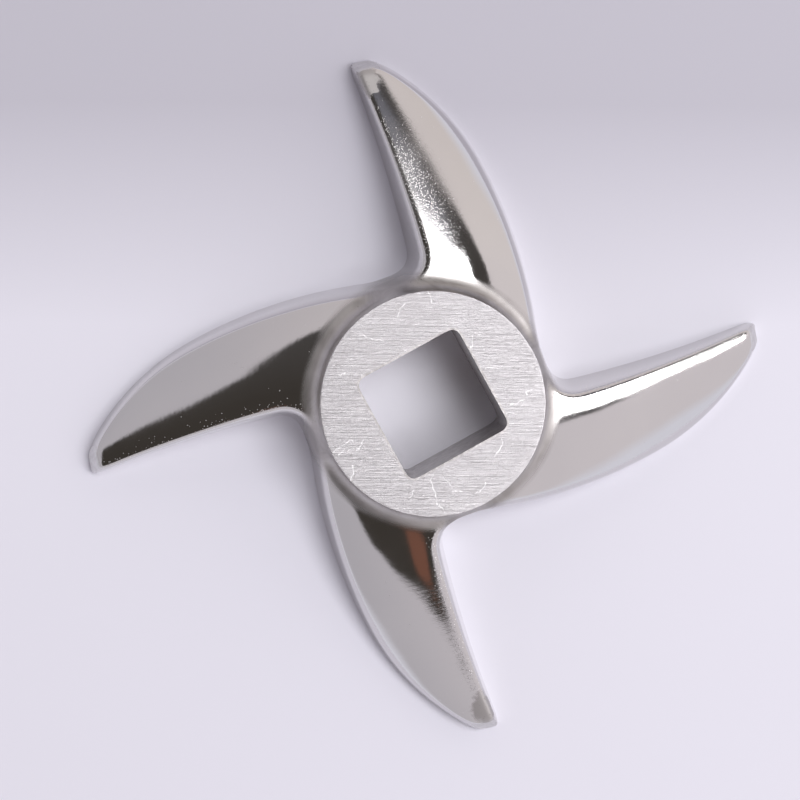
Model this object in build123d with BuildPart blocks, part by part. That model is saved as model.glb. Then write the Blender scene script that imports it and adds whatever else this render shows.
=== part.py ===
"""Four-bladed cutting knife for a large meat grinder, one stainless investment casting.

Frame: the origin is on the ground cutting face, at the centre of the square drive
bore. +Z runs up through the boss, and X and Y are square to the flats of the bore.
The knife rests on its cutting face. Its arms curl counter-clockwise, seen from the
boss side. Lengths are in millimetres and angles in degrees.
"""

from build123d import *
import os
from math import cos, radians, sin, tan

# ---------------------------------------------------------------- driving dimensions
# Boss and drive bore
boss_diameter = 30.1
boss_height = 14.0
bore_flats = 15.2
bore_corner_radius = 1.0

# Foot of the boss, where the four arms flow into it
web_thickness = 2.2
seat_depth = 3.5
flare_radius = 1.6

# Arms, in plan. Angles are about the axis of the bore, for the first arm
arm_count = 4
knife_diameter = 93.0
lead_root_angle = -22.8
lead_middle_angle = -18.8
lead_tip_angle = -15.7
trail_root_angle = -94.0
trail_belly_angle = -42.8
trail_belly_radius = 32.7
trail_tip_angle = -20.3
lead_root_fillet = 3.0
trail_root_fillet = 5.0

# Arms, in section
side_draft = 7.0
crest_offset = 5.2
crest_heading = -9.5
crest_height_tip = 3.0
crest_slope = 14.4
crown_radius_boss = 22.5
crown_radius_tip = 15.0
tip_land = 1.0
tip_bevel = 24.0

# ---------------------------------------------------------------- worked-out sizes
boss_radius = boss_diameter / 2
root_radius = boss_radius + web_thickness
tip_radius = knife_diameter / 2
seat_height = boss_height - seat_depth
arm_pitch = 360 / arm_count
overrun = 5.0  # how far a cutter runs past the metal that it cuts


def polar(radius, angle):
    """Point in plan at this radius and angle about the bore's axis"""
    return Vector(radius * cos(radians(angle)), radius * sin(radians(angle)))


# ---------------------------------------------------------------- gap between two arms
# It lies between the leading edge of the first arm and the trailing edge of the next,
# and ends at the boss in an arc of the root circle. Its walls lean back by the draft.
lead_middle_radius = (root_radius + tip_radius) / 2
gap_middle_angle = (lead_tip_angle + trail_tip_angle + arm_pitch) / 2

with BuildSketch() as gap_plan:
    with BuildLine() as gap_outline:
        lead_edge = ThreePointArc(
            polar(root_radius, lead_root_angle),
            polar(lead_middle_radius, lead_middle_angle),
            polar(tip_radius, lead_tip_angle),
        )
        lead_overrun = Line(lead_edge @ 1, lead_edge @ 1 + (lead_edge % 1) * overrun)
        belly = polar(trail_belly_radius, trail_belly_angle + arm_pitch)
        belly_tangent = Vector(0, 1)
        trail_inner = TangentArc(
            belly, polar(root_radius, trail_root_angle + arm_pitch), tangent=-belly_tangent
        )
        trail_outer = TangentArc(
            belly, polar(tip_radius, trail_tip_angle + arm_pitch), tangent=belly_tangent
        )
        trail_overrun = Line(trail_outer @ 1, trail_outer @ 1 + (trail_outer % 1) * overrun)
        root_arc = RadiusArc(trail_inner @ 1, lead_edge @ 0, root_radius)
        ThreePointArc(
            lead_overrun @ 1,
            polar(tip_radius + 3 * overrun, gap_middle_angle),
            trail_overrun @ 1,
        )
    make_face()
    lead_corner = gap_plan.vertices().sort_by_distance(lead_edge @ 0)[0]
    fillet(lead_corner, lead_root_fillet)
    trail_corner = gap_plan.vertices().sort_by_distance(trail_inner @ 1)[0]
    fillet(trail_corner, trail_root_fillet)

with BuildPart() as gap:
    add(gap_plan.sketch)
    extrude(amount=boss_height, taper=-side_draft)

# ---------------------------------------------------------------- crown of one arm
# A skew cone lies along the arm with its top line, the crest, just behind the leading
# edge. It falls and narrows towards the tip, and it is cut off level at the seat.
crest_direction = polar(1, crest_heading)
crest_foot = Vector(0, -crest_offset)


def crown_section(run):
    """Plane across the crest line and radius of the crown there"""
    radius = crown_radius_boss + (crown_radius_tip - crown_radius_boss) * run / tip_radius
    crest = crest_height_tip + (tip_radius - run) * tan(radians(crest_slope))
    centre = crest_foot + crest_direction * run + Vector(0, 0, crest - radius)
    return Plane(origin=centre, z_dir=crest_direction), radius


with BuildPart() as crown:
    for run in (-overrun, tip_radius):
        section_plane, section_radius = crown_section(run)
        with BuildSketch(section_plane):
            Circle(section_radius)
    loft(ruled=True)
    split(bisect_by=Plane.XY.offset(seat_height), keep=Keep.BOTTOM)
    split(bisect_by=Plane.XY, keep=Keep.TOP)

# ---------------------------------------------------------------- the knife
with BuildPart() as knife:
    with BuildSketch(Plane.XZ):
        with BuildLine():
            Polyline((0, boss_height), (0, 0), (root_radius, 0), (root_radius, seat_height))
            Line((root_radius, seat_height), (boss_radius + flare_radius, seat_height))
            RadiusArc(
                (boss_radius + flare_radius, seat_height),
                (boss_radius, seat_height + flare_radius),
                flare_radius,
            )
            Polyline(
                (boss_radius, seat_height + flare_radius),
                (boss_radius, boss_height),
                (0, boss_height),
            )
        make_face()
    revolve(axis=Axis.Z)

    with PolarLocations(0, arm_count):
        add(crown.part)

    with PolarLocations(0, arm_count):
        add(gap.part, mode=Mode.SUBTRACT)

    # The tips are ground to the overall diameter, and bevelled above a narrow land
    tip_bevel_run = (boss_height - tip_land) * tan(radians(tip_bevel))
    with BuildSketch(Plane.XZ):
        with BuildLine():
            Polyline(
                (0, 0),
                (tip_radius, 0),
                (tip_radius, tip_land),
                (tip_radius - tip_bevel_run, boss_height),
                (0, boss_height),
                close=True,
            )
        make_face()
    revolve(axis=Axis.Z, mode=Mode.INTERSECT)

    # Square drive bore with rounded corners
    with BuildSketch():
        RectangleRounded(bore_flats, bore_flats, bore_corner_radius)
    extrude(amount=boss_height, mode=Mode.SUBTRACT)

# ---------------------------------------------------------------- export
knife.part.label = "knife"
os.makedirs("parts", exist_ok=True)
export_step(knife.part, "parts/knife.step")
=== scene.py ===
# %% [markdown]
# # The knife of a large meat grinder
#
# The knife is one casting in stainless steel: a round boss with a square drive hole, and arms
# that curl out of it with a sharp lower edge. This file models its polished skin, its finishes,
# and a small studio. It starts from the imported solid, which gives the true size and place.

# %% Load the frame
import math

import bmesh
import bpy
import numpy as np
from mathutils import Matrix, Vector


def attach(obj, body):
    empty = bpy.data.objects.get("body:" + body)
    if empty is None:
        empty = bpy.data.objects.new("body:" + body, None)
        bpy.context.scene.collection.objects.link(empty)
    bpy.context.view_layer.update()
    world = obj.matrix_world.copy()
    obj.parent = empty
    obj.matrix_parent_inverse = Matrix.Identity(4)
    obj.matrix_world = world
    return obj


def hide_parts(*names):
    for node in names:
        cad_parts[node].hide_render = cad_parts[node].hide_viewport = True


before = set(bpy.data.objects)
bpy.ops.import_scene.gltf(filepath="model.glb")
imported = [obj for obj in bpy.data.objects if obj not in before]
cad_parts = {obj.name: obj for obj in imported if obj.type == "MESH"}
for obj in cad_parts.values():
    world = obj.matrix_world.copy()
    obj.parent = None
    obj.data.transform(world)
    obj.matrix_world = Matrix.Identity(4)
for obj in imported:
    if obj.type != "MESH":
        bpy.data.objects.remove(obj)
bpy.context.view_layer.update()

# %% [markdown]
# ## Camera
#
# The knife is seen from nearly straight above, through a long lens. A camera that hangs on the
# knife's own axes keeps the sums short: the view is turned about each axis in the knife's frame,
# and the camera stands back along the turned Z axis.

# %% Camera
MM = 0.001


def add_object(name, data):
    """An object with this data, linked into the scene."""
    thing = bpy.data.objects.new(name, data)
    bpy.context.scene.collection.objects.link(thing)
    return thing


image_size = 800
view_scale = 7.3054
view_distance = 450.0
knife_centre = (424.6, 397.13)
view_turns = (("X", 0.067858), ("Y", 0.074108), ("Z", 0.502022))

turn = Matrix.Identity(3)
for axis, angle in view_turns:
    turn = turn @ Matrix.Rotation(angle, 3, axis)
stand = Vector((
    -(knife_centre[0] - image_size / 2) / view_scale,
    (knife_centre[1] - image_size / 2) / view_scale,
    view_distance,
))
lens_data = bpy.data.cameras.new("camera")
lens_data.sensor_width = 36.0
lens_data.lens = view_scale * view_distance / image_size * lens_data.sensor_width
lens_data.clip_start = 0.01
camera = add_object("camera", lens_data)
camera.matrix_world = Matrix.Translation(turn.transposed() @ stand * MM) @ turn.transposed().to_4x4()
bpy.context.scene.camera = camera
print("lens, mm:", round(lens_data.lens, 1))

# %% [markdown]
# ## The knife's sizes
#
# The skin has the outline, boss and bore of the solid. Its arms are freer where the real casting
# is softer: the crown is lower and rounder at the root and narrower at the tip, the flare round
# the boss is wider, and the trailing wall leans more towards the tip. Lengths are in millimetres
# and angles in degrees, about the bore's axis. One arm is described, and the rest repeat it.

# %% Sizes
boss_radius = 15.05
boss_height = 14.0
bore_flats = 15.2
bore_corner = 1.0
flare_radius = 1.8
crease_radius = boss_radius + flare_radius

arm_count = 4
root_radius = 17.25
tip_radius = 46.5
lead_angles = (-22.8, -18.8, -15.7)
trail_root_angle = -94.0
trail_belly_angle = -42.8
trail_belly_radius = 32.7
trail_tip_angle = -20.3
lead_fillet = 3.0
trail_fillet = 5.0

draft = math.tan(math.radians(7.0))
trail_draft = math.tan(math.radians(11.5))
trail_lean_start = 8.0
trail_lean_run = 34.0
crest_offset = 5.2
crest_heading = math.radians(-9.5)
crest_height_tip = 3.0
crest_slope = math.tan(math.radians(14.4))
crest_level = 10.5
crest_blend = 1.0
crown_radius_boss = 22.5
crown_radius_tip = 10.0
tip_land = 1.0
tip_bevel = math.tan(math.radians(24.0))


def polar(radius, degrees):
    """Point in plan at this radius and angle."""
    angle = math.radians(degrees)
    return np.array([radius * math.cos(angle), radius * math.sin(angle)])


def quarter_turn(point):
    """The same point on the next arm."""
    x, y = point[0], point[1]
    return np.array([-y, x, *point[2:]])


# %% [markdown]
# ## Outline of one arm
#
# In plan each edge of an arm is a chain of arcs: a piece of the root circle, a fillet, and the
# edge itself. A chain is walked by distance, and gives a point with the direction that leads
# into the metal. That is all that is needed to raise leaning walls on it.

# %% Arcs
def circle_through(a, b, c):
    """Centre and radius of the circle through three points."""
    rows = 2 * np.array([b - a, c - a])
    centre = np.linalg.solve(rows, np.array([b @ b - a @ a, c @ c - a @ a]))
    return centre, np.linalg.norm(a - centre)


def circles_meet(centre_a, radius_a, centre_b, radius_b, near):
    """The point nearest to near where two circles cross."""
    across = centre_b - centre_a
    gap = np.linalg.norm(across)
    along = (gap**2 + radius_a**2 - radius_b**2) / (2 * gap)
    side = math.sqrt(radius_a**2 - along**2)
    unit = across / gap
    normal = np.array([-unit[1], unit[0]])
    options = [centre_a + unit * along + normal * side * sign for sign in (-1, 1)]
    return min(options, key=lambda point: np.linalg.norm(point - near))


def arc(centre, start, end):
    """Centre, radius, start angle and signed sweep of the short arc from start to end."""
    first = math.atan2(*(start - centre)[::-1])
    sweep = math.atan2(*(end - centre)[::-1]) - first
    sweep = (sweep + math.pi) % (2 * math.pi) - math.pi
    return centre, np.linalg.norm(start - centre), first, sweep


def walk(chain, distance, metal_side):
    """Point at this distance along a chain of arcs, and the unit vector into the metal there."""
    for number, (centre, radius, first, sweep) in enumerate(chain):
        length = radius * abs(sweep)
        if distance <= length or number == len(chain) - 1:
            break
        distance -= length
    angle = first + sweep * distance / length
    radial = np.array([math.cos(angle), math.sin(angle)])
    tangent = np.array([-radial[1], radial[0]]) * math.copysign(1, sweep)
    inward = np.array([-tangent[1], tangent[0]]) * metal_side
    return centre + radial * radius, inward


def chain_length(chain):
    return sum(radius * abs(sweep) for _, radius, _, sweep in chain)


# %% Leading and trailing edges
origin = np.zeros(2)
lead_points = [
    polar(root_radius, lead_angles[0]),
    polar((root_radius + tip_radius) / 2, lead_angles[1]),
    polar(tip_radius, lead_angles[2]),
]
lead_centre, lead_radius = circle_through(*lead_points)
belly = polar(trail_belly_radius, trail_belly_angle)


def belly_circle(end):
    """Centre of the circle that leaves the belly level and passes through end."""
    across, rise = end - belly
    return belly + np.array([0, (across**2 + rise**2) / (2 * rise)])


trail_root = polar(root_radius, trail_root_angle)
trail_tip = polar(tip_radius, trail_tip_angle)
inner_centre = belly_circle(trail_root)
outer_centre = belly_circle(trail_tip)
inner_radius = abs(inner_centre[1] - belly[1])

lead_round = circles_meet(
    origin, root_radius + lead_fillet, lead_centre, lead_radius - lead_fillet,
    polar(root_radius + lead_fillet, lead_angles[0] + 8),
)
trail_round = circles_meet(
    origin, root_radius + trail_fillet, inner_centre, inner_radius + trail_fillet,
    polar(root_radius + trail_fillet, trail_root_angle - 12),
)


def unit(vector):
    return vector / np.linalg.norm(vector)


lead_touch = unit(lead_round) * root_radius
lead_leave = lead_centre + unit(lead_round - lead_centre) * lead_radius
trail_touch = unit(trail_round) * root_radius
trail_leave = inner_centre + unit(trail_round - inner_centre) * inner_radius
next_trail_touch = quarter_turn(trail_touch)
web_middle = unit(unit(lead_touch) + unit(next_trail_touch)) * root_radius
previous_web = -quarter_turn(web_middle)

lead_chain = [
    arc(origin, web_middle, lead_touch),
    arc(lead_round, lead_touch, lead_leave),
    arc(lead_centre, lead_leave, lead_points[2]),
]
trail_chain = [
    arc(origin, previous_web, trail_touch),
    arc(trail_round, trail_touch, trail_leave),
    arc(inner_centre, trail_leave, belly),
    arc(outer_centre, belly, trail_tip),
]
LEAD = (lead_chain, -1)
TRAIL = (trail_chain, 1)
print("edge lengths, mm:", round(chain_length(lead_chain), 1), round(chain_length(trail_chain), 1))

# %% [markdown]
# ## Height of one arm
#
# The arm's crown is round across and highest just behind the leading edge. Its crest leaves the
# boss level, then falls evenly towards the tip while the crown narrows. The tip is turned to a
# steep bevel. Both are written as a height above the cutting face for any point in plan.

# %% Heights
crest_line = np.array([math.cos(crest_heading), math.sin(crest_heading)])
crest_foot = np.array([0, -crest_offset])


def crown_height(point):
    """Height of the crown over a point in plan."""
    from_foot = np.asarray(point)[:2] - crest_foot
    run = from_foot @ crest_line
    beside = crest_line[0] * from_foot[1] - crest_line[1] * from_foot[0]
    narrowing = (max(run, 0) / tip_radius) ** 2
    radius = crown_radius_boss + (crown_radius_tip - crown_radius_boss) * narrowing
    fall = crest_height_tip + (tip_radius - run) * crest_slope
    lower = math.exp(-fall / crest_blend) + math.exp(-crest_level / crest_blend)
    crest = -crest_blend * math.log(lower)
    return crest - radius + math.sqrt(radius**2 - beside**2)


def bevel_height(point):
    """Height of the turned tip bevel over a point in plan."""
    return tip_land + (tip_radius - np.linalg.norm(point[:2])) / tip_bevel


def lean_of(edge, distance):
    """Lean of a wall for each millimetre of height. The trailing wall's grows towards the tip."""
    if edge is LEAD:
        return draft
    share = np.clip((distance - trail_lean_start) / trail_lean_run, 0, 1)
    return draft + (trail_draft - draft) * share


def on_wall(edge, distance, height):
    """Point of the leaning wall over an edge, at this distance and height."""
    foot, inward = walk(edge[0], distance, edge[1])
    return np.array([*(foot + inward * height * lean_of(edge, distance)), height])


def wall_top(edge, distance):
    """Where the wall over an edge meets the crown."""
    height = 6.0
    for _ in range(30):
        height = crown_height(on_wall(edge, distance, height))
    return on_wall(edge, distance, height)


def distance_where(test, low, high):
    """Distance at which the rising value test(distance) passes zero."""
    for _ in range(50):
        middle = (low + high) / 2
        if test(middle) > 0:
            high = middle
        else:
            low = middle
    return (low + high) / 2


# %% [markdown]
# ## Cage of one arm
#
# A polished casting has broad, even curves, and its mirror shows every kink. A subdivision
# surface suits that: a coarse cage of four-sided faces is smoothed into one flowing skin. Where
# two rows of the cage lie close together the skin turns sharply, so the closeness of the rows
# sets how round the crest, the shoulder and the tip become. Rows run along the arm and
# stations run across it. Both start on the crease round the foot of the boss.

# %% Stations along both edges
columns = 12
web_columns = 4
tip_round = 1.1
trail_tip_round = 2.3
tip_blend = 6.0
least_fillet = 1.2
edge_slack = 0.25


def smooth(share):
    """Eases a share, or an array of them, in and out."""
    share = np.clip(share, 0, 1)
    return share**2 * (3 - 2 * share)


def station_places(edge, fillet_steps, edge_steps, last_step):
    """Distances along an edge for the tops, land row and feet of all the stations."""
    chain = edge[0]

    def beyond_crease(distance):
        return np.linalg.norm(wall_top(edge, distance)[:2]) - crease_radius

    def beyond_bevel(distance):
        top = wall_top(edge, distance)
        return crown_height(top) - bevel_height(top)

    def beyond_tip(distance):
        return np.linalg.norm(on_wall(edge, distance, tip_land)[:2]) - tip_radius

    fillet_end = chain[0][1] * abs(chain[0][3]) + chain[1][1] * abs(chain[1][3])
    full = chain_length(chain)
    start = distance_where(beyond_crease, 0.0, fillet_end + 4)
    fillet_end = max(fillet_end, start + least_fillet)
    end = distance_where(beyond_bevel, full - 8, full)
    land_end = distance_where(beyond_tip, full - 2, full + 2)
    fillet_part = np.linspace(start, fillet_end, fillet_steps + 1)
    share = np.linspace(0, 1, edge_steps + 1)[1:]
    share = share + edge_slack * np.sin(np.pi * share) * share * (1 - share)
    edge_part = fillet_end + (end - last_step - fillet_end) * share
    tops = np.concatenate([fillet_part, edge_part, [end]])
    nearness = smooth(1 - (end - tops) / tip_blend)
    lands = tops + nearness * (land_end - end)
    feet = tops + nearness * (full - end)
    return tops, lands, feet


lead_places = station_places(LEAD, 4, 14, tip_round)
trail_places = station_places(TRAIL, 1, 17, trail_tip_round)
stations = len(lead_places[0])
print("stations:", stations)
print("arm starts at, mm:", round(lead_places[0][0], 2), round(trail_places[0][0], 2))


def side_wall(edge, places, rounding):
    """Rows of one side wall: foot, land, a row just under the top, and the top."""
    rows = []
    for top_at, land_at, foot_at, soft in zip(*places, rounding):
        top = wall_top(edge, top_at)
        under = max(top[2] - soft, (top[2] + tip_land) / 2)
        share = (under - tip_land) / (top[2] - tip_land)
        under_at = land_at + (top_at - land_at) * share
        places_up = ((foot_at, 0.0), (land_at, tip_land), (under_at, under))
        rows.append([*(on_wall(edge, distance, height) for distance, height in places_up), top])
    return np.array(rows)


along = np.linspace(0, 1, stations)
crest_round = 1.2 + 1.2 * np.exp(-((along / 0.35) ** 2))
shoulder_round = 1.2 + 1.6 * np.exp(-((along / 0.28) ** 2))
lead_wall = side_wall(LEAD, lead_places, crest_round)
trail_wall = side_wall(TRAIL, trail_places, shoulder_round)

# %% Crown, tip and underside of the arm
ring_spread = 0.8
widest_support = 0.28
ring_stations = 13
even_stations = 6
tip_stations = 8


def angle_of(point):
    return math.atan2(point[1], point[0])


def sweep_grid(first_side, second_side, ring, end_row, supports):
    """Plan positions of a grid between two sides, bowed round the boss and round the tip."""
    grid = np.zeros((stations, columns + 1, 2))
    even = np.linspace(0, 1, columns + 1) ** ring_spread
    bow = ring - (ring[0] + (ring[-1] - ring[0]) * even[:, None])
    for number in range(stations):
        a, b = first_side[number], second_side[number]
        width = np.linalg.norm(b - a)
        near_a, near_b = np.minimum(supports[number] / width, widest_support)
        tight = np.concatenate([[0], np.linspace(near_a, 1 - near_b, columns - 1), [1]])
        share = even + (tight - even) * np.clip(number / even_stations, 0, 1)
        fade = smooth(1 - number / ring_stations)
        grid[number] = a + (b - a) * share[:, None] + bow * fade
        if number == stations - 1:
            chord = a + (b - a) * share[:, None]
            bulge = end_row(chord) - chord
    first = stations - tip_stations
    for number in range(first, stations):
        part = ((number - first + 1) / tip_stations) ** 2
        if number == stations - 2:
            part = 1.0
        grid[number] += bulge * part
    return grid


def ring_between(a, b, radius):
    """Points on a circle from the direction of a to that of b, wider apart at a."""
    first, last = angle_of(a), angle_of(b)
    angles = first + (last - first) * np.linspace(0, 1, columns + 1) ** ring_spread
    return np.stack([radius * np.cos(angles), radius * np.sin(angles)], 1)


def to_bevel_edge(points):
    """Moves points in or out, to where the crown meets the tip bevel."""
    moved = points.copy()
    for _ in range(40):
        for number, point in enumerate(moved):
            reach = tip_radius - (crown_height(point) - tip_land) * tip_bevel
            moved[number] = unit(points[number]) * reach
    return moved


def to_tip_circle(points):
    return np.array([unit(point) * tip_radius for point in points])


supports = np.stack([shoulder_round, crest_round], 1)
crease_ring = ring_between(trail_wall[0][3], lead_wall[0][3], crease_radius)
crown_plan = sweep_grid(
    trail_wall[:, 3, :2], lead_wall[:, 3, :2], crease_ring, to_bevel_edge, supports
)
crown = np.array([[[*p, crown_height(p)] for p in row] for row in crown_plan])

foot_radius = np.linalg.norm(trail_wall[0][0][:2])
foot_ring = ring_between(trail_wall[0][0], lead_wall[0][0], foot_radius)
foot_plan = sweep_grid(
    trail_wall[:, 0, :2], lead_wall[:, 0, :2], foot_ring, to_tip_circle, supports
)
underside = np.array([[[*p, 0.0] for p in row] for row in foot_plan])

tip_face = np.zeros((4, columns + 1, 3))
tip_face[0] = underside[-1]
tip_face[3] = crown[-1]
low, high = angle_of(trail_wall[-1][1]), angle_of(lead_wall[-1][1])
for number, share in enumerate(np.linspace(0, 1, columns + 1)):
    angle = low + (high - low) * share
    land = np.array([tip_radius * math.cos(angle), tip_radius * math.sin(angle), tip_land])
    tip_face[1, number] = land
    top = crown[-1, number]
    tip_face[2, number] = top + unit(land - top) * min(tip_round, np.linalg.norm(land - top) / 2)
tip_face[1, 0], tip_face[1, -1] = trail_wall[-1][1], lead_wall[-1][1]
tip_face[2, 0], tip_face[2, -1] = trail_wall[-1][2], lead_wall[-1][2]
print("crown height at boss and tip, mm:", crown[0, :, 2].max().round(2), crown[-1, :, 2].round(2))

# %% [markdown]
# ## Boss, bore and webs
#
# Between two arms the wall climbs straight to the rim of the boss. Over an arm a hollow flare
# joins the boss to the crown and ends in a crease. The rows of the boss are rings that start as
# this wavy crease and end as a true circle, then run in over the flat end face to the square.

# %% Web between two arms
web_round = 1.5


def web_rows():
    """Columns of the web wall, from this arm's leading corner to the next arm's trailing one."""
    first_top = lead_wall[0][3][2]
    last_top = trail_wall[0][3][2]
    stops = [(LEAD, 0.5, False), (LEAD, 0.0, False), (TRAIL, 0.5, True)]
    lead_start, trail_start = lead_places[0][0], trail_places[0][0]
    rows = [lead_wall[0]]
    for number, (edge, part, is_next) in enumerate(stops):
        distance = part * (trail_start if is_next else lead_start)
        top = first_top + (last_top - first_top) * (number + 1) / web_columns
        heights = (0.0, tip_land, top - web_round, top)
        column = [on_wall(edge, distance, height) for height in heights]
        if is_next:
            column = [quarter_turn(point) for point in column]
        rows.append(np.array(column))
    rows.append(np.array([quarter_turn(point) for point in trail_wall[0]]))
    return np.array(rows)


web = web_rows()

# %% Rings of the boss
rim_round = 0.13
rim_support = 0.9
web_reach = 15.9
flare_shape = [(0.42, 0.16), (0.10, 0.62), (0.02 / flare_radius, 1.0)]


def boss_column(foot):
    """Points up the boss from a point of the crease ring or of a web top to the rim."""
    direction = unit(foot[:2])
    reach = np.linalg.norm(foot[:2])
    hollow = np.clip((reach - web_reach) / (crease_radius - web_reach), 0, 1)
    flared = np.array([
        (boss_radius + out * flare_radius, foot[2] + up * flare_radius) for out, up in flare_shape
    ])
    rise = boss_height - foot[2]
    straight = np.array([
        (reach - (reach - boss_radius) * part, foot[2] + rise * part) for part in (0.25, 0.5, 0.75)
    ])
    rows = [
        *(flared * hollow + straight * (1 - hollow)),
        (boss_radius, boss_height - rim_round), (boss_radius, boss_height),
        (boss_radius - rim_round, boss_height), (boss_radius - rim_support, boss_height),
    ]
    return [foot] + [np.array([*(direction * radius), height]) for radius, height in rows]


crease = list(crown[0]) + [column[3] for column in web[1:]]
boss_rings = np.array([boss_column(point) for point in crease])


# %% Square drive bore
def bore_outline(half, corner):
    """Points of a quarter of the rounded square, one for each column of the boss."""
    total = columns + web_columns
    corner_column = min(
        range(2, total - 2), key=lambda i: abs(angle_of(crease[i]) + math.pi / 4)
    )
    inner = half - corner
    bend = [math.radians(a) for a in (-90, -45, 0)]
    corner_points = [
        np.array([inner + corner * math.cos(a), -inner + corner * math.sin(a)]) for a in bend
    ]
    points = {}
    for shift, point in zip((-1, 0, 1), corner_points):
        points[corner_column + shift] = point
    flat_steps = total - 2
    for step in range(1, flat_steps):
        place = -inner + 2 * inner * step / flat_steps
        index = corner_column + 1 + step
        point = np.array([half, place])
        if index > total:
            index -= total
            point = np.array([point[1], -point[0]])
        points[index] = point
    row = [points[i] for i in range(1, total + 1)]
    last = row[-1]
    return np.array([[last[1], -last[0]], *row])


bore_soft = 0.1
bore_half = bore_flats / 2
bore_levels = (boss_height, boss_height - 0.25, 9.5, 5.0, 0.0)
bore_rows = [
    (bore_half + 1.2, bore_corner + 0.6, boss_height),
    (bore_half + bore_soft, bore_corner + bore_soft, boss_height),
]
bore_rows += [(bore_half, bore_corner, level) for level in bore_levels]
bore = np.array([
    [[*point, level] for point in bore_outline(half, corner)] for half, corner, level in bore_rows
])


def rings_between(outer, inner, shares):
    return np.array([outer + (inner - outer) * share for share in shares])


end_face = rings_between(boss_rings[:, -1], bore[0], (0, 0.33, 0.66, 1))
foot_line = np.array(list(underside[0]) + [column[0] for column in web[1:]])
under_rings = rings_between(foot_line, bore[-1], (0, 0.3, 0.65, 1))
print("bore rows:", len(bore_rows), " points round a quarter of it:", bore.shape[1])

# %% [markdown]
# ## Cage to mesh
#
# Each grid becomes a sheet of quads. The sheets share their border points, which are welded
# later. Marks ride along: which finish a face has, which points lie on a sharp line, and how far
# along and beside the crest each point is.

# %% One arm's cage
POLISHED, BRUSHED, BORED, GROUND, TURNED = range(5)
cage_points, cage_faces, cage_finish = [], [], []


def add_sheet(grid, finish):
    """Adds a grid of points as quads. Finish is a number, or gives one for a row and column."""
    rows, cols = grid.shape[:2]
    start = len(cage_points)
    cage_points.extend(grid.reshape(-1, 3))
    for row in range(rows - 1):
        for col in range(cols - 1):
            corner = start + row * cols + col
            cage_faces.append((corner, corner + 1, corner + cols + 1, corner + cols))
            cage_finish.append(finish(row, col) if callable(finish) else finish)


for grid, finish in (
    (crown, POLISHED), (lead_wall, POLISHED), (trail_wall, POLISHED), (tip_face, TURNED),
    (web, POLISHED), (boss_rings, lambda row, col: BRUSHED if col >= 5 else POLISHED),
    (end_face, BRUSHED), (bore, lambda row, col: BRUSHED if row < 1 else BORED),
    (underside, GROUND), (under_rings, GROUND),
):
    add_sheet(grid, finish)

sharp_outline = np.concatenate([lead_wall[:, 0], trail_wall[:, 0], tip_face[0], web[:, 0]])


def lies_on(points, line):
    """1 for each point that is one of the line's, and 0 for the rest."""
    gaps = np.linalg.norm(points[:, None] - line[None], axis=2)
    return (gaps.min(axis=1) < 1e-6).astype(float)


cage = np.array(cage_points)
on_outline = lies_on(cage, sharp_outline)
on_crease = lies_on(cage, crown[0])
on_bore = lies_on(cage, bore[2]) + lies_on(cage, bore[-1])

# The two upright corners of the tip are pulled in, which rounds them in plan.
corner_pull = 0.28
for wall, next_col in ((trail_wall, 1), (lead_wall, -2)):
    for row in range(4):
        corner = wall[-1][row]
        pull = wall[-2][row] + tip_face[row, next_col] - 2 * corner
        at_corner = lies_on(cage, corner[None]) > 0.5
        cage[at_corner] = corner + corner_pull * pull


def place_by_crest(points):
    """How far along the crest, and how far from it, each point lies, in mm."""
    line = lead_wall[:, 3]
    steps = np.linalg.norm(np.diff(line, axis=0), axis=1)
    marks = np.concatenate([[0], np.cumsum(steps)])
    fine = np.linspace(0, marks[-1], 400)
    dense = np.stack([np.interp(fine, marks, line[:, axis]) for axis in range(3)], 1)
    gaps = np.linalg.norm(points[:, None] - dense[None], axis=2)
    return fine[gaps.argmin(axis=1)], gaps.min(axis=1)


along_crest, from_crest = place_by_crest(cage)

arm_mesh = bpy.data.meshes.new("arm_cage")
arm_mesh.from_pydata((cage * MM).tolist(), [], cage_faces)
for name, values in (
    ("outline", on_outline), ("crease", on_crease), ("bore_edge", on_bore),
    ("along_crest", along_crest), ("from_crest", from_crest),
):
    mark = arm_mesh.attributes.new(name, "FLOAT", "POINT")
    mark.data.foreach_set("value", values)
finish_mark = arm_mesh.attributes.new("finish", "INT", "FACE")
finish_mark.data.foreach_set("value", cage_finish)
arm = add_object("arm_cage", arm_mesh)
print("cage of one arm:", len(cage_points), "points,", len(cage_faces), "faces")

# %% [markdown]
# ## Node helpers
#
# Every node tree below, for the repeat as well as for the finishes, is put together with these.

# %% Node helpers
def put(tree, kind, inputs=(), **settings):
    """Adds a node, sets its properties, and links or sets its inputs."""
    node = tree.nodes.new(kind)
    for name, value in settings.items():
        setattr(node, name, value)
    for socket, value in dict(inputs).items():
        if isinstance(value, bpy.types.NodeSocket):
            tree.links.new(value, node.inputs[socket])
        else:
            node.inputs[socket].default_value = value
    return node


def tree_of(*values):
    """The node tree of the first socket among the values."""
    return next(value.id_data for value in values if isinstance(value, bpy.types.NodeSocket))


def maths(operation, first, *others):
    """Applies the operation to the first value and to each of the others in turn."""
    tree = tree_of(first, *others)
    for other in others or (0.0,):
        first = put(tree, "ShaderNodeMath", {0: first, 1: other}, operation=operation).outputs[0]
    return first


def times(*values):
    return maths("MULTIPLY", *values)


def plus(*values):
    return maths("ADD", *values)


def minus(*values):
    return maths("SUBTRACT", *values)

# %% [markdown]
# ## Repeat the arm with Geometry Nodes
#
# The arms are equal and stand at equal angles, so a node tree makes them from the one cage: it
# sets points, puts the cage on each with its own turn, welds the borders, and gives each finish
# its material. The knife's symmetry then lives in one number.

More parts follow.
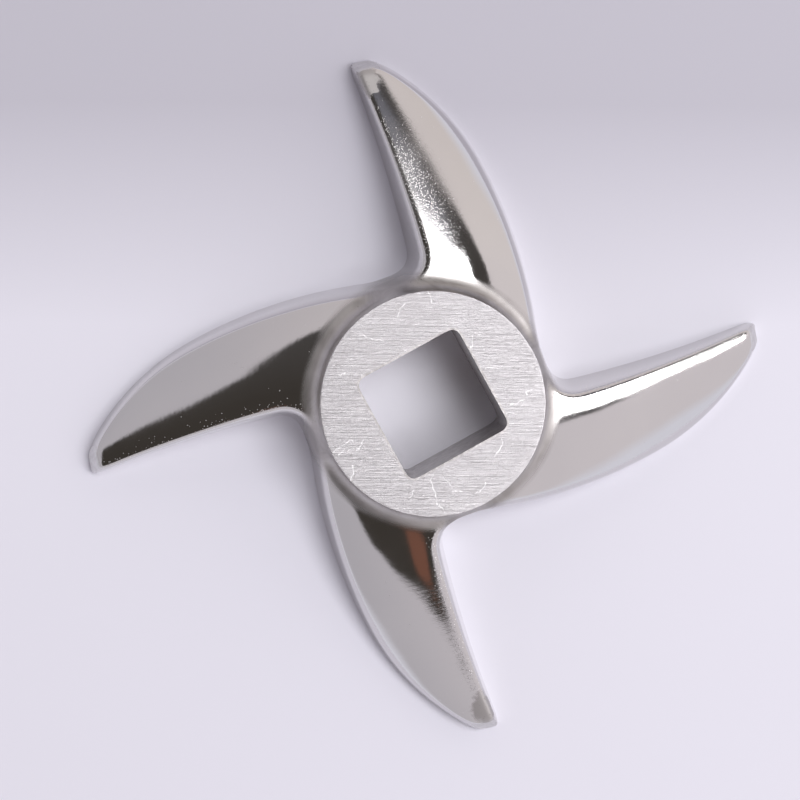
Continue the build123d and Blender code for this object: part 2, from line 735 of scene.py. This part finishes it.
# %% Materials by name
finish_names = ["polished_steel", "brushed_steel", "bored_steel", "ground_steel", "turned_steel"]
steels = [bpy.data.materials.new(name) for name in finish_names]
for steel in steels:
    steel.use_nodes = True


# %% Node tree for the repeat
def repeat_tree():
    """A tree that repeats the arm, welds the copies, and gives each finish its material."""
    tree = bpy.data.node_groups.new("repeat_arms", "GeometryNodeTree")
    face = tree.interface
    face.new_socket("Arm", in_out="INPUT", socket_type="NodeSocketGeometry")
    count = face.new_socket("Arm count", in_out="INPUT", socket_type="NodeSocketInt")
    weld = face.new_socket("Weld distance", in_out="INPUT", socket_type="NodeSocketFloat")
    face.new_socket("Knife", in_out="OUTPUT", socket_type="NodeSocketGeometry")
    given = put(tree, "NodeGroupInput").outputs
    points = put(tree, "GeometryNodePoints", {"Count": given["Arm count"]}).outputs[0]
    step = maths("DIVIDE", 2 * math.pi, given["Arm count"])
    turned = times(put(tree, "GeometryNodeInputIndex").outputs[0], step)
    angles = put(tree, "ShaderNodeCombineXYZ", {"Z": turned}).outputs[0]
    flow = put(tree, "GeometryNodeInstanceOnPoints", {
        "Points": points, "Instance": given["Arm"], "Rotation": angles,
    }).outputs[0]
    flow = put(tree, "GeometryNodeRealizeInstances", {0: flow}).outputs[0]
    flow = put(tree, "GeometryNodeMergeByDistance", {
        "Geometry": flow, "Distance": given["Weld distance"],
    }).outputs[0]
    for number, steel in enumerate(steels):
        finish = put(tree, "GeometryNodeInputNamedAttribute", {"Name": "finish"}, data_type="INT")
        same = put(tree, "FunctionNodeCompare", {
            2: finish.outputs["Attribute"], 3: number,
        }, data_type="INT", operation="EQUAL")
        flow = put(tree, "GeometryNodeSetMaterial", {
            "Geometry": flow, "Selection": same.outputs[0], "Material": steel,
        }).outputs[0]
    put(tree, "NodeGroupOutput", {"Knife": flow})
    return tree, {"count": count.identifier, "weld": weld.identifier}


for steel in steels:
    arm_mesh.materials.append(steel)
tree, inputs = repeat_tree()
repeat = arm.modifiers.new("repeat", "NODES")
repeat.node_group = tree
repeat[inputs["count"]] = arm_count
repeat[inputs["weld"]] = 0.01 * MM


def plain_mesh(source, name):
    """The evaluated shape of an object as a mesh of its own."""
    graph = bpy.context.evaluated_depsgraph_get()
    mesh = bpy.data.meshes.new_from_object(source.evaluated_get(graph))
    mesh.name = name
    return mesh


cage_mesh = plain_mesh(arm, "knife_cage")
bpy.data.objects.remove(arm)
print("whole cage:", len(cage_mesh.vertices), "points,", len(cage_mesh.polygons), "faces")

# %% [markdown]
# ## Smooth the cage
#
# Edge creases hold the lines that are sharp on the real knife: the ground outline, the edge of
# the bore, and half sharp the crease at the foot of the boss. Catmull-Clark subdivision then
# rounds the rest. The cage's open edges are counted and printed, since it stands for a solid.

# %% Creases and subdivision
shell = bmesh.new()
shell.from_mesh(cage_mesh)
layer = shell.edges.layers.float.new("crease_edge")
sharpness = {"outline": 1.0, "crease": 0.35, "bore_edge": 1.0}
for name, amount in sharpness.items():
    mark = shell.verts.layers.float[name]
    for edge in shell.edges:
        if all(vert[mark] > 0.5 for vert in edge.verts):
            edge[layer] = amount
bmesh.ops.recalc_face_normals(shell, faces=shell.faces)
open_edges = sum(1 for edge in shell.edges if len(edge.link_faces) != 2)
shell.to_mesh(cage_mesh)
shell.free()
print("open edges in the cage:", open_edges)

knife = add_object("knife_skin", cage_mesh)
smoothing = knife.modifiers.new("smoothing", "SUBSURF")
smoothing.levels = 2
smoothing.render_levels = 2
knife_mesh = plain_mesh(knife, "knife_skin")
knife.modifiers.remove(smoothing)
knife.data = knife_mesh
for name in (*sharpness, "crease_edge"):
    if name in knife_mesh.attributes:
        knife_mesh.attributes.remove(knife_mesh.attributes[name])
knife_mesh.shade_smooth()
knife_mesh.set_sharp_from_angle(angle=math.radians(40))
print("skin:", len(knife_mesh.polygons), "quads; materials:", [m.name for m in knife_mesh.materials])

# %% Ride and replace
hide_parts("knife")
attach(knife, "root")

# %% [markdown]
# ## Finishes
#
# The casting is one steel with five finishes. The arms are polished by hand to a wavy mirror,
# the end face of the boss is drawn over a belt, the bore is left as cast and sized, the tips are
# turned, and the cutting face is ground. Effects that several of them share are node groups.

# %% Shader helpers
def vectors(operation, a, b=(0, 0, 0)):
    node = put(tree_of(a), "ShaderNodeVectorMath", {0: a, 1: b}, operation=operation)
    is_number = operation in ("DISTANCE", "DOT_PRODUCT", "LENGTH")
    return node.outputs["Value" if is_number else "Vector"]


def ramp(value, low, high, to_low=0.0, to_high=1.0, kind="LINEAR"):
    node = put(tree_of(value), "ShaderNodeMapRange", {
        0: value, 1: low, 2: high, 3: to_low, 4: to_high,
    }, interpolation_type=kind)
    return node.outputs[0]


def blend(mask, low, high):
    """Colour that goes from low to high with the mask. Each is a colour or a socket."""
    low, high = (c if isinstance(c, bpy.types.NodeSocket) else (*c, 1) for c in (low, high))
    mixed = put(tree_of(mask), "ShaderNodeMix", {0: mask, 6: low, 7: high}, data_type="RGBA")
    return mixed.outputs[2]


def noise(vector, scale, detail=2.0, roughness=0.5):
    """Value and colour of a noise texture."""
    return put(tree_of(vector), "ShaderNodeTexNoise", {
        "Vector": vector, "Scale": scale, "Detail": detail, "Roughness": roughness,
    }).outputs


def cells(vector, scale, feature="F1"):
    """Outputs of a cell texture, of which the first is the distance."""
    return put(tree_of(vector), "ShaderNodeTexVoronoi", {
        "Vector": vector, "Scale": scale,
    }, feature=feature).outputs


def effect(name, numbers, vector_names=("Vector",), output="Mask"):
    """An empty node group with these vector and number inputs, and one output."""
    group = bpy.data.node_groups.new(name, "ShaderNodeTree")
    for names, kind in ((vector_names, "NodeSocketVector"), (numbers, "NodeSocketFloat")):
        for socket in names:
            group.interface.new_socket(socket, in_out="INPUT", socket_type=kind)
    group.interface.new_socket(output, in_out="OUTPUT", socket_type="NodeSocketFloat")
    return group, put(group, "NodeGroupInput").outputs


def finish_effect(group, value):
    put(group, "NodeGroupOutput", {0: value})
    return group


def use(group, vector, inputs):
    """The output of one of the shared effects."""
    inputs = {"Vector": vector, **inputs}
    return put(tree_of(vector), "ShaderNodeGroup", inputs, node_tree=group).outputs[0]


# %% Shared effects of polishing and brushing
def make_ripple():
    """Slow waves that hand polishing leaves, and a trace of the casting's grain."""
    group, given = effect("ripple", ["Wave size", "Grain size", "Grain share"], output="Height")
    wave = noise(given["Vector"], given["Wave size"], 1.0, 0.4)[0]
    grain = noise(given["Vector"], given["Grain size"])[0]
    fine = times(grain, given["Grain share"])
    return finish_effect(group, plus(wave, fine))


def make_scratches():
    """Thin broken lines that lie in clusters."""
    group, given = effect("scratches", ["Line scale", "Width", "Cluster scale", "Amount"])
    bend = noise(given["Vector"], 220.0)[1]
    shift = vectors("MULTIPLY", bend, (0.004, 0.004, 0.004))
    bent = vectors("ADD", given["Vector"], shift)
    to_edge = cells(bent, given["Line scale"], "DISTANCE_TO_EDGE")[0]
    line = maths("LESS_THAN", to_edge, given["Width"])
    cluster = noise(given["Vector"], given["Cluster scale"], 3.0, 0.75)[0]
    inside = maths("GREATER_THAN", cluster, given["Amount"])
    return finish_effect(group, times(line, inside))


def make_brushing():
    """Long parallel lines of mixed strength, drawn along X of the given vector."""
    group, given = effect("brushing", ["Line scale", "Stretch"])
    squeeze = put(group, "ShaderNodeCombineXYZ", {0: given["Stretch"], 1: 1.0, 2: 1.0})
    drawn = vectors("MULTIPLY", given["Vector"], squeeze.outputs[0])
    coarse = noise(drawn, given["Line scale"], 6.0, 0.72)[0]
    return finish_effect(group, ramp(coarse, 0.3, 0.7))


def make_speckle():
    """Small round pits at random places, each with a steep wall."""
    group, given = effect("speckle", ["Pit scale", "Pit share"], output="Height")
    pit = cells(given["Vector"], given["Pit scale"])
    chosen = put(group, "ShaderNodeSeparateXYZ", {0: pit["Color"]}).outputs[0]
    present = maths("LESS_THAN", chosen, given["Pit share"])
    bowl = ramp(pit["Distance"], 0.1, 0.5, kind="SMOOTHSTEP")
    depth = times(present, minus(1.0, bowl))
    return finish_effect(group, minus(1.0, depth))


def make_flecks():
    """Scattered small spots. Share is how much of the surface's cells have one."""
    group, given = effect("flecks", ["Fleck scale", "Share"])
    fleck = cells(given["Vector"], given["Fleck scale"])
    draw = put(group, "ShaderNodeSeparateColor", {0: fleck["Color"]}).outputs
    reach = ramp(draw[1], 0.0, 1.0, 0.15, 0.45)
    spot = maths("LESS_THAN", fleck["Distance"], reach)
    chosen = maths("LESS_THAN", draw[0], given["Share"])
    return finish_effect(group, times(spot, chosen))


ripple = make_ripple()
speckle = make_speckle()
flecks = make_flecks()
scratches = make_scratches()
brushing = make_brushing()
print("effects:", [group.name for group in (ripple, speckle, flecks, scratches, brushing)])


# %% Effect of a single scratch
def make_scratch():
    """One bowed scratch from its start to its end, slightly wavering."""
    group, given = effect("scratch", ["Bow", "Width"], ["Vector", "Start", "Reach"])
    place, reach = given["Vector"], given["Reach"]
    waver = noise(place, 1300.0)[1]
    shift = vectors("SUBTRACT", waver, (0.5, 0.5, 0.5))
    shift = vectors("MULTIPLY", shift, (0.0009, 0.0009, 0))
    from_start = vectors("SUBTRACT", place, given["Start"])
    from_start = vectors("ADD", from_start, shift)
    covered = vectors("DOT_PRODUCT", from_start, reach)
    share = maths("DIVIDE", covered, vectors("DOT_PRODUCT", reach, reach))
    across = vectors("CROSS_PRODUCT", reach, (0, 0, 1))
    across = vectors("NORMALIZE", across)
    middling = times(share, minus(1.0, share))
    hump = times(middling, given["Bow"])
    off = minus(vectors("DOT_PRODUCT", from_start, across), hump)
    uneven = ramp(noise(place, 2600.0)[0], 0.35, 0.65, 0.2, 1.6)
    half = times(given["Width"], uneven)
    near = maths("LESS_THAN", maths("ABSOLUTE", off), half)
    inside = maths("GREATER_THAN", middling, 0.0)
    return finish_effect(group, times(near, inside))


scratch = make_scratch()
print("effect:", scratch.name)


# %% Helpers for the steels
def start(steel):
    """The material's tree, its shader, and a vector in the knife's own axes."""
    tree = steel.node_tree
    shader = tree.nodes["Principled BSDF"]
    shader.inputs["Metallic"].default_value = 1.0
    place = put(tree, "ShaderNodeTexCoord").outputs["Object"]
    return tree, shader, place


def connect(tree, shader, colour, rough, height, depth):
    """Links a colour, a roughness, and a height as relief of this depth."""
    bump = put(tree, "ShaderNodeBump", {"Height": height, "Distance": depth, "Strength": 1.0})
    inputs = {"Base Color": colour, "Roughness": rough, "Normal": bump.outputs[0]}
    for name, value in inputs.items():
        tree.links.new(value, shader.inputs[name])


def mark_of(tree, name):
    """One of the numbers that the mesh carries at its points."""
    return put(tree, "ShaderNodeAttribute", attribute_name=name).outputs["Fac"]


def gap_to(place, middle):
    """Distance of the surface from a point that is given in mm."""
    return vectors("DISTANCE", place, tuple(np.array(middle) * MM))


def flattened(place):
    return vectors("MULTIPLY", place, (1, 1, 0))


# %% Where the polish is dull
hazy_place = (12.5, 25.4, 7.5)
hazy_reach = (14.0 * MM, 5.0 * MM)
hazy_width = (8.0, 3.0)
dull_tips = ((13.3, 42.1, 5.5), (-13.1, -41.5, 5.5))
dull_tip_reach = (3.1 * MM, 2.5 * MM)
flare_reach = ((crease_radius + 0.9) * MM, (crease_radius - 0.3) * MM)


def hazy_zone(place, beside):
    """1 on the hazy stretch of one arm's crest."""
    near = ramp(gap_to(place, hazy_place), *hazy_reach)
    return times(near, ramp(beside, *hazy_width))


def frosted_tips(place):
    """1 on the two dull tips, with a ragged border."""
    ragged = minus(noise(place, 900.0, 3.0)[0], 0.5)
    shift = times(ragged, 2.0 * MM)
    found = 0.0
    for middle in dull_tips:
        gap = plus(gap_to(place, middle), shift)
        found = maths("MAXIMUM", found, ramp(gap, *dull_tip_reach))
    return found


def flare_zone(place):
    """1 on the flare round the boss, which is left as cast."""
    from_axis = vectors("LENGTH", flattened(place))
    return ramp(from_axis, *flare_reach)


# %% Strokes, pits and flecks of the polish
fine_scale = 5200.0
stroke_look = {"Line scale": 3000.0, "Stretch": 0.06}
ripple_look = {"Wave size": 160.0, "Grain size": 1600.0, "Grain share": 0.05}


def strokes_along(tree, place, along, beside):
    """Fine strokes that run across the arm, and differ from arm to arm."""
    arm_place = put(tree, "ShaderNodeCombineXYZ", {
        0: times(beside, MM), 1: times(along, MM),
    }).outputs[0]
    apart = vectors("MULTIPLY", place, (0.07, 0.07, 0.07))
    return use(brushing, vectors("ADD", arm_place, apart), stroke_look)


def polish_height(place, beside, strokes, hazy, on_crest):
    """Waves of the polish, strokes, and pits where it is hazy or worn along the crest."""
    waves = use(ripple, place, ripple_look)
    pits = use(speckle, place, {"Pit scale": fine_scale, "Pit share": 0.6})
    stray = ramp(noise(place, 420.0)[0], 0.66, 0.74, 0.0, 0.05)
    worked = maths("MAXIMUM", hazy, times(on_crest, 0.7), stray)
    stroke_depth = ramp(beside, 2.0, 14.0, 0.045, 0.02)
    height = plus(waves, times(strokes, stroke_depth))
    pitted = times(pits, times(worked, 0.14))
    return plus(height, pitted)


def polish_flecks(place, along, hazy, on_crest):
    """Dull flecks that gather on the crest, most of all beside the boss."""
    near_boss = ramp(along, 14.0, 4.0)
    dense = plus(0.22, times(near_boss, 0.3))
    dense = times(dense, times(on_crest, on_crest))
    dense = maths("MAXIMUM", dense, times(hazy, 0.05))
    share = plus(dense, 0.002)
    return use(flecks, place, {"Fleck scale": fine_scale, "Share": share})


# %% Polished arms
def polish(steel):
    tree, shader, place = start(steel)
    along, beside = mark_of(tree, "along_crest"), mark_of(tree, "from_crest")
    hazy, frosted = hazy_zone(place, beside), frosted_tips(place)
    in_flare, on_crest = flare_zone(place), ramp(beside, 2.4, 0.6)
    strokes = strokes_along(tree, place, along, beside)
    height = polish_height(place, beside, strokes, hazy, on_crest)
    fleck = polish_flecks(place, along, hazy, on_crest)
    patches = noise(place, 120.0, 3.0)[0]

    rough = ramp(patches, 0.35, 0.75, 0.05, 0.11)
    for mask, amount in ((hazy, 0.13), (in_flare, 0.34), (frosted, 0.4), (fleck, 0.45)):
        rough = plus(rough, times(mask, amount))

    bright = blend(patches, (0.66, 0.645, 0.645), (0.71, 0.695, 0.69))
    spots = ramp(patches, 0.40, 0.62)
    cast = blend(spots, (0.28, 0.26, 0.245), (0.48, 0.455, 0.44))
    uncut = times(in_flare, ramp(strokes, 0, 1, 0.6, 1.0))
    base = blend(uncut, bright, cast)
    base = blend(times(frosted, 0.8), base, (0.43, 0.41, 0.40))
    connect(tree, shader, base, rough, height, 0.06 * MM)


polish(steels[POLISHED])
print("polished:", len(steels[POLISHED].node_tree.nodes), "nodes")


# %% Scratches on the end face
scratch_count = 20
scratch_width = 0.055 * MM
long_scratch = [np.array(point) for point in ((-4.5, -8.0), (-5.5, -11.0), (-5.5, -13.5))]
chance = np.random.default_rng(4)


def chance_scratch():
    """Start, end and bow of a scratch somewhere on the end face, in mm."""
    place, heading = chance.uniform(0, 2 * math.pi, 2)
    first = chance.uniform(9.0, 13.5) * np.array([math.cos(place), math.sin(place)])
    last = first + chance.uniform(1.0, 3.0) * np.array([math.cos(heading), math.sin(heading)])
    return first, last, chance.uniform(-0.5, 0.5)


scratch_lines = [(first, last, 0.3) for first, last in zip(long_scratch, long_scratch[1:])]
scratch_lines += [chance_scratch() for _ in range(scratch_count)]


def scratched(place):
    """1 on any of the scratches, 0 elsewhere."""
    found = 0.0
    for first, last, bow in scratch_lines:
        line = use(scratch, place, {
            "Start": (*(first * MM), 0), "Reach": (*((last - first) * MM), 0),
            "Bow": 4 * bow * MM, "Width": scratch_width,
        })
        found = maths("MAXIMUM", found, line)
    return found


print("scratches:", len(scratch_lines))


# %% Brushed end face
mark_look = {"Line scale": 330.0, "Width": 0.028, "Cluster scale": 170.0, "Amount": 0.63}


def brush(steel):
    tree, shader, place = start(steel)
    along = put(tree, "ShaderNodeMapping", {"Vector": place, "Rotation": (0, 0, turn.to_euler().z)})
    lines = use(brushing, along.outputs[0], {"Line scale": 5200.0, "Stretch": 0.03})
    marks = use(scratches, place, mark_look)
    cuts = scratched(flattened(place))
    lit = maths("MAXIMUM", lines, marks)
    drawn = blend(lit, (0.42, 0.405, 0.42), (0.57, 0.555, 0.57))
    base = blend(cuts, drawn, (0.86, 0.85, 0.86))
    rough = ramp(minus(lines, cuts), -1, 1, 0.5, 0.26)
    connect(tree, shader, base, rough, lit, 0.03 * MM)


brush(steels[BRUSHED])


# %% Bore, cutting face and tips
def plain(steel, scale, stretch, colours, roughs, depth):
    """Steel with plain tool lines. The lines are brighter and smoother than what lies between."""
    tree, shader, place = start(steel)
    lines = use(brushing, place, {"Line scale": scale, "Stretch": stretch})
    rough = ramp(lines, 0, 1, *roughs)
    connect(tree, shader, blend(lines, *colours), rough, lines, depth)


bored_tones = ((0.42, 0.40, 0.40), (0.60, 0.58, 0.58))
ground_tones = ((0.55, 0.54, 0.54), (0.68, 0.67, 0.67))
turned_tones = ((0.60, 0.59, 0.59), (0.74, 0.73, 0.73))
plain(steels[BORED], 900.0, 0.8, bored_tones, (0.5, 0.3), 0.04 * MM)
plain(steels[GROUND], 1800.0, 0.03, ground_tones, (0.35, 0.22), 0.01 * MM)
plain(steels[TURNED], 1500.0, 0.5, turned_tones, (0.5, 0.35), 0.02 * MM)
print("finishes:", finish_names)

# %% [markdown]
# ## Studio
#
# Polished steel has hardly any colour of its own: it shows the room. So the room is the main
# part of its look. Low down all round is a pale surround, overhead is a dark opening with a
# silvery and a warm patch, and two soft boxes hang to one side. The arms gather them into bright
# and dark bands. The floor is pale paper with painted shade that darkens it towards the top of
# the view, and a painted pool of light that makes it paler where it is seen through the bore.

# %% Floor
floor_half = 1.5
# Painted shade: over this span the paper darkens towards the top of the view.
floor_shade_fade = (0.010, 0.040)
# Painted light: within this reach of the bore's axis the paper is painted paler.
bore_painted_light = (12.0 * MM, 10.0 * MM)


def make_floor():
    mesh = bpy.data.meshes.new("floor")
    corners = [(x * floor_half, y * floor_half, 0) for x, y in ((-1, -1), (1, -1), (1, 1), (-1, 1))]
    mesh.from_pydata(corners, [], [(0, 1, 2, 3)])
    floor = add_object("floor", mesh)
    paper = bpy.data.materials.new("floor_paper")
    paper.use_nodes = True
    tree = paper.node_tree
    shader = tree.nodes["Principled BSDF"]
    place = put(tree, "ShaderNodeTexCoord").outputs["Object"]
    turned = put(tree, "ShaderNodeMapping", {"Vector": place, "Rotation": tuple(turn.to_euler())})
    up = put(tree, "ShaderNodeSeparateXYZ", {0: turned.outputs[0]}).outputs[1]
    # Painted shade: the paper's colour darkens towards the top of the view, standing in for the
    # room's light falling off.
    far = ramp(up, *floor_shade_fade)
    # Painted light: the paper is painted paler under the bore, standing in for light that the
    # knife's walls keep from it.
    painted_light_in_bore = ramp(vectors("LENGTH", place), *bore_painted_light)
    colour = blend(far, (0.84, 0.835, 0.92), (0.59, 0.58, 0.65))
    colour = blend(painted_light_in_bore, colour, (0.925, 0.92, 1.0))
    tree.links.new(colour, shader.inputs["Base Color"])
    shader.inputs["Roughness"].default_value = 0.9
    shader.inputs["Specular IOR Level"].default_value = 0.2
    mesh.materials.append(paper)


make_floor()
print("floor, m:", 2 * floor_half)

# %% Room
# Slopes are tangents of the angle from the view's axis, to the right and upwards.
opening_middle = (0.02, -0.03)
opening_half = (0.88, 0.92)
opening_skew = 0.22
opening_bulge = 0.30
opening_edge = 0.045
cut_slope = (0.764, -0.645)
cut_start = 0.66
cut_soft = 0.06
rim_across = (0.52, 0.98, 0.05)
rim_upward = (-0.44, -0.33, 0.012)


def patch(across, upward, middle, half, soft):
    """1 inside a squarish oval of slopes, falling to 0 over a soft border."""
    total = 0.0
    for value, centre, reach in zip((across, upward), middle, half):
        offset = maths("ABSOLUTE", minus(value, centre))
        part = maths("POWER", maths("DIVIDE", offset, reach), 3.0)
        total = plus(total, part)
    return ramp(total, 1 - 3 * soft, 1 + 3 * soft, 1.0, 0.0, "SMOOTHSTEP")


def between(value, low, high, soft):
    """1 where the value lies between low and high, with soft borders."""
    rising = ramp(value, low - soft, low + soft, 0.0, 1.0, "SMOOTHSTEP")
    falling = ramp(value, high - soft, high + soft, 1.0, 0.0, "SMOOTHSTEP")
    return times(rising, falling)


def in_opening(across, upward):
    """1 inside the dark opening: a bulging, skewed oval that is cut off on one side."""
    below = maths("MINIMUM", upward, 0.0)
    skewed = minus(across, times(below, opening_skew))
    bulge = ramp(upward, 0.08, 0.40, 0.0, opening_bulge)
    skewed = minus(skewed, bulge)
    inside = patch(skewed, upward, opening_middle, opening_half, opening_edge)
    slant_across = times(across, cut_slope[0])
    slant = plus(slant_across, times(upward, cut_slope[1]))
    kept = ramp(slant, cut_start - cut_soft, cut_start + cut_soft, 1.0, 0.0, "SMOOTHSTEP")
    return times(inside, kept)


# %% World
def make_room():
    world = bpy.data.worlds.new("room")
    world.use_nodes = True
    bpy.context.scene.world = world
    tree = world.node_tree
    direction = put(tree, "ShaderNodeTexCoord").outputs["Generated"]
    turned = put(tree, "ShaderNodeVectorRotate", {
        "Vector": direction, "Rotation": tuple(turn.to_euler()),
    }, rotation_type="EULER_XYZ").outputs[0]
    right, up, out = put(tree, "ShaderNodeSeparateXYZ", {0: turned}).outputs
    height = maths("MAXIMUM", out, 0.05)
    across = maths("DIVIDE", right, height)
    upward = maths("DIVIDE", up, height)

    side, back = ramp(right, -0.7, 0.7), ramp(up, 0.0, 0.9)
    high, low = ramp(up, 0.35, 0.75), ramp(out, 0.22, 0.06)
    cream = blend(high, (0.98, 0.90, 0.84), (0.76, 0.69, 0.66))
    surround = blend(side, (0.56, 0.54, 0.58), (0.80, 0.75, 0.78))
    surround = blend(times(back, side), surround, cream)
    surround = blend(low, surround, (0.86, 0.86, 0.95))

    silver = patch(across, upward, (0.36, 0.50), (0.24, 0.17), 0.25)
    warm = patch(across, upward, (-0.03, -0.62), (0.11, 0.20), 0.15)
    dark = blend(back, (0.055, 0.048, 0.042), (0.09, 0.085, 0.085))
    dark = blend(silver, dark, (0.20, 0.20, 0.23))
    dark = blend(warm, dark, (0.21, 0.095, 0.065))

    rim = between(across, *rim_across)
    rim = times(rim, between(upward, *rim_upward))
    colour = blend(in_opening(across, upward), surround, dark)
    colour = blend(rim, colour, (0.08, 0.075, 0.075))
    tree.links.new(colour, tree.nodes["Background"].inputs["Color"])
    tree.nodes["Background"].inputs["Strength"].default_value = 1.0
    print("room:", len(tree.nodes), "nodes")


make_room()

# %% Soft boxes
box_height = 1.0
box_radiance = 6.0
box_colour = (1.0, 0.99, 1.0)


def soft_box(name, left, right, bottom, top):
    """A level rectangle of light that fills these slopes, seen from the knife."""
    lamp = bpy.data.lights.new(name, "AREA")
    lamp.shape = "RECTANGLE"
    lamp.size = (right - left) * box_height
    lamp.size_y = (top - bottom) * box_height
    lamp.energy = box_radiance * math.pi * lamp.size * lamp.size_y
    lamp.color = box_colour
    holder = add_object(name, lamp)
    middle = Vector(((left + right) / 2, (bottom + top) / 2, 1.0)) * box_height
    upright = turn.transposed()
    holder.matrix_world = Matrix.Translation(upright @ middle) @ upright.to_4x4()
    print(name, "size, m:", round(lamp.size, 2), round(lamp.size_y, 2))


soft_box("upper_soft_box", 0.09, 0.76, 0.04, 0.38)
soft_box("lower_soft_box", 0.38, 1.10, -0.34, 0.04)

view = bpy.context.scene.view_settings
view.view_transform = "Standard"
